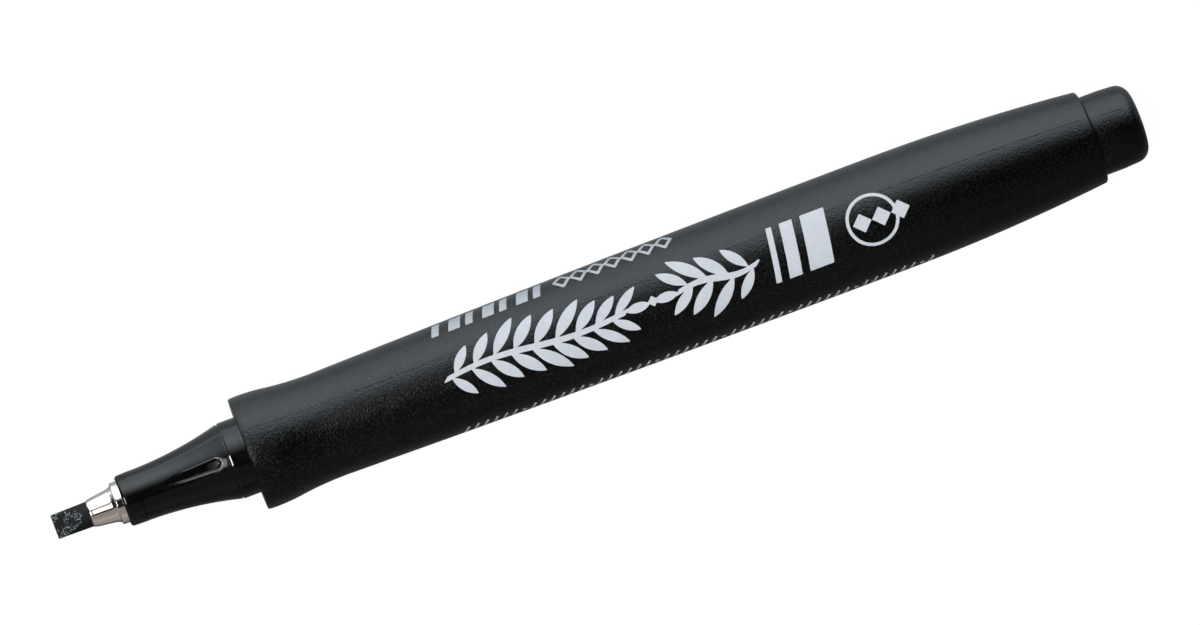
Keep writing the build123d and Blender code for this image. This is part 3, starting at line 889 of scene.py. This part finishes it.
NIB_STEPS, NIB_SHARP = 168, 40
NIB_EDGE_RADIUS, NIB_RADIUS = 1.49, 1.55
NIB_EDGE_ROUNDING = ((0.0, 0.09), (0.02, 0.04), (0.06, 0.01))  # stations, and how far they draw in
NIB_RING_START, NIB_RING_PITCH, NIB_RINGS = 0.14, 0.1, 42
NIB_EDGE_HALF, FACET_LENGTH = 0.18, 3.70
NIB_POINT_LENGTH, NIB_POINT_RADIUS = 4.5, 0.45
FACET_ROUNDING = 0.07
FRAY, FRAY_BEYOND = 0.018, 0.5  # how far cut fibres stand proud or short, and go on behind the facets
FRAY_ALONG, FRAY_ACROSS, FRAY_APART = 5, 7, 3  # how fast that changes, and how the facets differ


def cut_facets(along, across, height):
    """Cuts the rod to its chisel, with softened edges and the unevenness of cut fibre."""
    limit = NIB_EDGE_HALF + (NIB_RADIUS - NIB_EDGE_HALF) * along / FACET_LENGTH
    level = soft_min(np.abs(height), limit, FACET_ROUNDING)
    side = np.sign(height)
    uneven = np.zeros_like(along)
    for place in np.ndindex(along.shape):
        depth = side[place] * FRAY_APART + level[place]
        uneven[place] = bl_noise.noise((along[place] * FRAY_ALONG, across[place] * FRAY_ACROSS, depth))
    near = np.clip(FACET_LENGTH + FRAY_BEYOND - along, 0, 1)
    level = np.maximum(level + uneven * FRAY * near, 0)
    return along, across, side * level


def build_nib(material):
    """The fibre nib: a rod cut on two sides to a chisel edge, and pointed where the ink feeds it."""
    rings = [NIB_RING_START + NIB_RING_PITCH * ring for ring in range(NIB_RINGS)]
    slope = (NIB_RADIUS - NIB_EDGE_RADIUS) / FERRULE_FRONT
    profile = [(along, NIB_EDGE_RADIUS - inset) for along, inset in NIB_EDGE_ROUNDING]
    profile += [(ring, NIB_EDGE_RADIUS + slope * ring) for ring in rings]
    profile += [
        (FERRULE_FRONT, NIB_RADIUS),
        (NIB_END - NIB_POINT_LENGTH, NIB_RADIUS),
        (NIB_END, NIB_POINT_RADIUS),
    ]
    mesh = turned(profile, even_turns(NIB_STEPS), closed=False, shape=cut_facets)
    add_piece("nib_rod", *mesh, material, NIB_BODY, "nib_fibre", "nib", sharp=NIB_SHARP)


# ---------------------------------------------------------------- parting lines

PARTING_TURNS = (20.0, 200.0)
PARTING_HEIGHT, PARTING_SINK, PARTING_STEP, PARTING_SHARP = 0.020, 0.03, 0.3, 10
PARTING_USUAL, PARTING_SWING, PARTING_LOW = 0.85, 1.2, -0.5  # shares of its height
PARTING_WAVES = (0.9, 2.3)  # long and short waves per millimetre of its unevenness
PARTING_STEEP, PARTING_GENTLE = 0.11, 0.30  # widths of the step's two slopes
PARTING_FLIP = 47.0  # station where the steeper side changes over
BARREL_PARTING = (BARREL_FRONT + 0.3, BARREL_REAR - 0.5)
PLUG_PARTING = (BARREL_REAR + 0.4, PLUG_CUP_END - 0.3)


def parting_height(along, turn):
    """The uneven height of a parting line in millimetres; below 0 it is worn away."""
    long, short = (bl_noise.noise((along * wave, turn, 5 * step)) for step, wave in enumerate(PARTING_WAVES))
    share = PARTING_USUAL + PARTING_SWING * (long + 0.5 * short)
    return PARTING_HEIGHT * min(max(share, PARTING_LOW), 1)


def build_parting_line(name, span, radius_at, material, body):
    """The hairline step that a mould's two halves leave, on both sides of a piece."""
    first, last = span
    count = int((last - first) / PARTING_STEP)
    spread = 1 + PARTING_SINK / PARTING_HEIGHT
    vertices, faces = [], []
    for turn in PARTING_TURNS:
        base = len(vertices)
        for ring in range(count + 1):
            along = first + (last - first) * ring / count
            radius = radius_at(along)
            lower, upper = PARTING_GENTLE, PARTING_STEEP
            if along > PARTING_FLIP:
                lower, upper = upper, lower
            section = (
                (-lower * spread, -PARTING_SINK),
                (0, parting_height(along, turn)),
                (upper * spread, -PARTING_SINK),
            )
            for side, lift in section:
                vertices.append(pen_point(along, radius + lift, turn + degrees(side / radius)))
        size = len(section)
        for ring in range(count):
            for step in range(size):
                after = (step + 1) % size
                corners = (step, after, after + size, step + size)
                faces.append(tuple(base + ring * size + corner for corner in corners))
        faces.append(tuple(base + step for step in range(size)))
        faces.append(tuple(base + count * size + step for step in range(size)))
    add_piece(name, vertices, faces, material, body, "matte_black_plastic", sharp=PARTING_SHARP)


# ---------------------------------------------------------------- print on the barrel

PRINT_TURN = -4.0  # the turn that the middle of the print lies at
PRINT_ROLL = 7.0  # the radius in millimetres that arc lengths round the barrel are measured at
PRINT_CELL, PRINT_SHARP = 0.09, 50
PRINT_LIFT, PRINT_SINK = 0.022, 0.02
CUT_LOW, CUT_HIGH = 0.08, 0.92  # shares of a cell's side between which an outline may cross it
PEN_ANGLE = 40.0  # the angle that a broad nib is held at
NIB_THICKNESS = 0.20
STEM_WIDTH, STEM_STEPS, STEM_CALM = 0.75, 48, 0.3  # the last is how much of its sway it loses
LEAF_LENGTH, LEAF_WIDTH, LEAF_GROWTH = 4.9, 1.5, 1.16
LEAF_TURN, LEAF_CLOSING = 52, 16  # degrees from the stem, and how many fewer at its end
LEAF_FOOT = (0.25, 0.22)  # how far its foot lies from the stem, along and around
END_LEAF = (0.62, 0.8)  # its length and width against the others
NO_AREA, NO_LENGTH = 1e-6, 1e-12

Patch = namedtuple("Patch", "low high distance")  # its box, and a function of (along, around)


def polygon_distance(along, around, corners):
    """Distance from points to a convex polygon, below 0 inside it. Two corners make a line."""
    following = np.roll(corners, -1, 0)
    area = sum(ax * by - bx * ay for (ax, ay), (bx, by) in zip(corners, following))
    nearest = np.full(along.shape, np.inf)
    outside = np.full(along.shape, abs(area) < NO_AREA)
    for (ax, ay), (bx, by) in zip(corners, following):
        ex, ey = bx - ax, by - ay
        length = max(ex * ex + ey * ey, NO_LENGTH)
        px, py = along - ax, around - ay
        share = np.clip((px * ex + py * ey) / length, 0, 1)
        nearest = np.minimum(nearest, np.hypot(px - ex * share, py - ey * share))
        outside |= (ex * py - ey * px) * area < 0
    return np.where(outside, nearest, -nearest)


def patch(corners, growth=0.06):
    """A convex patch of print whose corners are rounded by its growth. Two corners make a line."""
    corners = np.array(corners, float)

    def distance(along, around):
        return polygon_distance(along, around, corners) - growth

    return Patch(corners.min(0) - growth, corners.max(0) + growth, distance)


def circle_line(along, around, radius, width):
    """A ring of print."""
    middle = np.array((along, around))
    reach = radius + width

    def distance(along, around):
        return np.abs(np.hypot(along - middle[0], around - middle[1]) - radius) - width / 2

    return Patch(middle - reach, middle + reach, distance)


def leaf(along, around, length, width, turn):
    """A leaf-shaped pen stroke from its foot, pointing at a turn in degrees from the pen's rear."""
    angle = radians(turn)
    ahead, side = np.array((cos(angle), sin(angle))), np.array((-sin(angle), cos(angle)))
    bend = (length * length + width * width) / (4 * width)
    middle = np.array((along, around)) + ahead * length / 2
    centres = [middle + side * sign * (bend - width / 2) for sign in (-1, 1)]

    def distance(along, around):
        first, second = (np.hypot(along - x, around - y) - bend for x, y in centres)
        return np.maximum(first, second)

    return Patch(middle - length / 2, middle + length / 2, distance)


def nib_dot(along, around, size):
    """The square dot that a broad nib makes, standing on its corner."""
    corners = [(along - size, around), (along, around - size), (along + size, around), (along, around + size)]
    return patch(corners, 0.04)


def stroke(path, width):
    """The patches that a broad nib leaves along a path."""
    nib = np.array((cos(radians(PEN_ANGLE)), sin(radians(PEN_ANGLE)))) * width / 2
    points = [np.array(point) for point in path]
    return [
        patch((start - nib, end - nib, end + nib, start + nib), NIB_THICKNESS / 2)
        for start, end in zip(points, points[1:])
    ]


def branch(start, end, pairs, sway):
    """A leafy pen flourish: a swaying stem with slanted leaf strokes on both sides."""
    span = end - start

    def stem(share):
        return start + span * share, sway * sin(2 * pi * share) * (1 - STEM_CALM * share)

    patches = stroke([stem(step / STEM_STEPS) for step in range(STEM_STEPS + 1)], STEM_WIDTH)
    for pair in range(pairs):
        share = (pair + 0.35) / pairs
        full = 0.62 + 0.38 * sin(pi * (share * 0.85 + 0.1))
        along, around = stem(share)
        for side in (-1, 1):
            turn = side * (LEAF_TURN - LEAF_CLOSING * share)
            lean = turn if span > 0 else 180 - turn
            foot = along + side * LEAF_FOOT[0] * np.sign(span)
            size = LEAF_LENGTH * full * (1.0 if (pair + side) % 3 else LEAF_GROWTH)
            patches.append(leaf(foot, around + side * LEAF_FOOT[1], size, LEAF_WIDTH * full, lean))
    size, width = LEAF_LENGTH * END_LEAF[0], LEAF_WIDTH * END_LEAF[1]
    patches.append(leaf(*stem(1), size, width, 0 if span > 0 else 180))
    return patches


def flourish():
    """Two leafy branches that meet, in the place of the main lettering."""
    front = branch(49.4, 72.0, pairs=9, sway=0.55)
    rear = branch(88.6, 78.6, pairs=4, sway=-0.45)
    return front + [nib_dot(75.45, 0.1, 0.62)] + rear


def width_bars():
    """Three slanted samples of growing line width; the last is as wide as the nib's own line."""
    low, high, lean = -3.2, 3.5, 1.0
    corners = [
        [(left, low), (left + width, low), (left + width + lean, high), (left + lean, high)]
        for left, width in ((90.0, 0.6), (91.7, 1.5), (94.3, 2.9))
    ]
    return [patch(four, 0.05) for four in corners]


def gauge():
    """A ring round a ladder of nib-width dots, whose last one stands out of it."""
    middle, first, pitch, size = 103.2, 101.9, 2.42, 1.12
    ladder = [nib_dot(first + pitch * dot, 0.0, size) for dot in range(3)]
    return [circle_line(middle, 0.0, radius=3.0, width=0.40)] + ladder


def upper_row():
    """A row of bold slanted patches that goes on as thin-lined diamonds."""
    low, high, lean, pitch, count = 6.4, 9.3, 0.6, 2.15, 7
    patches = []
    for index in range(count):
        left = 49.6 + index * pitch
        right = left + (1.35 if index % 2 else 0.8)
        patches.append(patch([(left, low), (right, low), (right + lean, high), (left + lean, high)]))
    middle = (low + high) / 2
    for index in range(count):
        left = 65.4 + index * pitch
        rim = [(left, middle), (left + 0.95, low + 0.1), (left + 1.9, middle), (left + 0.95, high - 0.1)]
        patches += [patch(pair, 0.2) for pair in zip(rim, rim[1:] + rim[:1])]
    return patches


def lower_row():
    """A row of fine slanted ticks in groups, like practice marks."""
    first, pitch, group = 49.5, 1.2, 7
    patches = []
    for index in range(50):
        left = first + index * pitch
        if index % group == group - 1:
            patches.append(nib_dot(left + 0.3, -9.2, 0.3))
        else:
            patches.append(patch([(left, -10.0), (left + 0.55, -8.4)], 0.15))
    return patches


def distance_grid(patches):
    """The distance to the nearest patch on a square grid, with the grid's stations and arc lengths."""
    margin = 3 * PRINT_CELL
    low = np.min([each.low for each in patches], 0) - margin
    high = np.max([each.high for each in patches], 0) + margin
    stations = np.arange(low[0], high[0], PRINT_CELL)
    arcs = np.arange(low[1], high[1], PRINT_CELL)
    field = np.full((stations.size, arcs.size), margin)
    for each in patches:
        reach = zip((stations, arcs), each.low - margin, each.high + margin)
        window = tuple(slice(*np.searchsorted(line, ends)) for line, *ends in reach)
        along, around = np.meshgrid(stations[window[0]], arcs[window[1]], indexing="ij")
        field[window] = np.minimum(field[window], each.distance(along, around))
    return field, stations, arcs


def cut_print(patches):
    """The outline-following faces of the patches: (station, arc length) points and faces."""
    field, stations, arcs = distance_grid(patches)
    points, index_of, faces = [], {}, []

    def point(first, second):
        """A grid corner, or where the outline crosses between two of them."""
        key = (first, second) if first <= second else (second, first)
        if key not in index_of:
            (i, j), (k, l) = key
            share = 0.0
            if first != second:
                share = min(max(field[i, j] / (field[i, j] - field[k, l]), CUT_LOW), CUT_HIGH)
            along = stations[i] + (stations[k] - stations[i]) * share
            around = arcs[j] + (arcs[l] - arcs[j]) * share
            index_of[key] = len(points)
            points.append((along, around))
        return index_of[key]

    inked = field < 0
    touched = inked[:-1, :-1] | inked[1:, :-1] | inked[:-1, 1:] | inked[1:, 1:]
    for i, j in zip(*np.nonzero(touched)):
        corners = [(i, j), (i + 1, j), (i + 1, j + 1), (i, j + 1)]
        face = []
        for here, after in zip(corners, corners[1:] + corners[:1]):
            if inked[here]:
                face.append(point(here, here))
            if inked[here] != inked[after]:
                face.append(point(here, after))
        faces.append(tuple(face))
    return points, faces


def build_print(name, patches, material):
    """Lays patches of print on the barrel as a thin closed film of ink."""
    points, faces = cut_print(patches)
    count = len(points)
    sheets = []
    for lift in (PRINT_LIFT, -PRINT_SINK):
        for along, around in points:
            turn = PRINT_TURN + degrees(around / PRINT_ROLL)
            sheets.append(pen_point(along, barrel_radius(along) + lift, turn))
    edges = Counter()
    for face in faces:
        edges.update(zip(face, face[1:] + face[:1]))
    rims = [edge for edge in edges if (edge[1], edge[0]) not in edges]
    solid = list(faces)
    solid += [tuple(corner + count for corner in reversed(face)) for face in faces]
    solid += [(second, first, first + count, second + count) for first, second in rims]
    add_piece(name, sheets, solid, material, BODY, "white_print", sharp=PRINT_SHARP)


def build_all_print(material):
    """Every group of print, each as its own piece."""
    groups = {
        "print_flourish": flourish,
        "print_width_bars": width_bars,
        "print_gauge": gauge,
        "print_upper_row": upper_row,
        "print_lower_row": lower_row,
    }
    for name, draw in groups.items():
        build_print(name, draw(), material)


# ---------------------------------------------------------------- build

place_camera()
build_floor()
build_world()
made = finish_cad_nodes()
matte, gloss = made[matte_black_plastic], made[gloss_black_plastic]
build_barrel(matte)
build_plug(matte)
build_fins(matte)
section, ferrule = build_section(gloss), build_ferrule(made[plated_metal])
build_lights(section, ferrule)
build_nib(made[nib_fibre])
build_parting_line("barrel_parting_line", BARREL_PARTING, barrel_radius, matte, BODY)
build_parting_line("plug_parting_line", PLUG_PARTING, plug_radius, matte, PLUG_BODY)
build_all_print(white_print())
bpy.context.scene.view_settings.view_transform = "Standard"
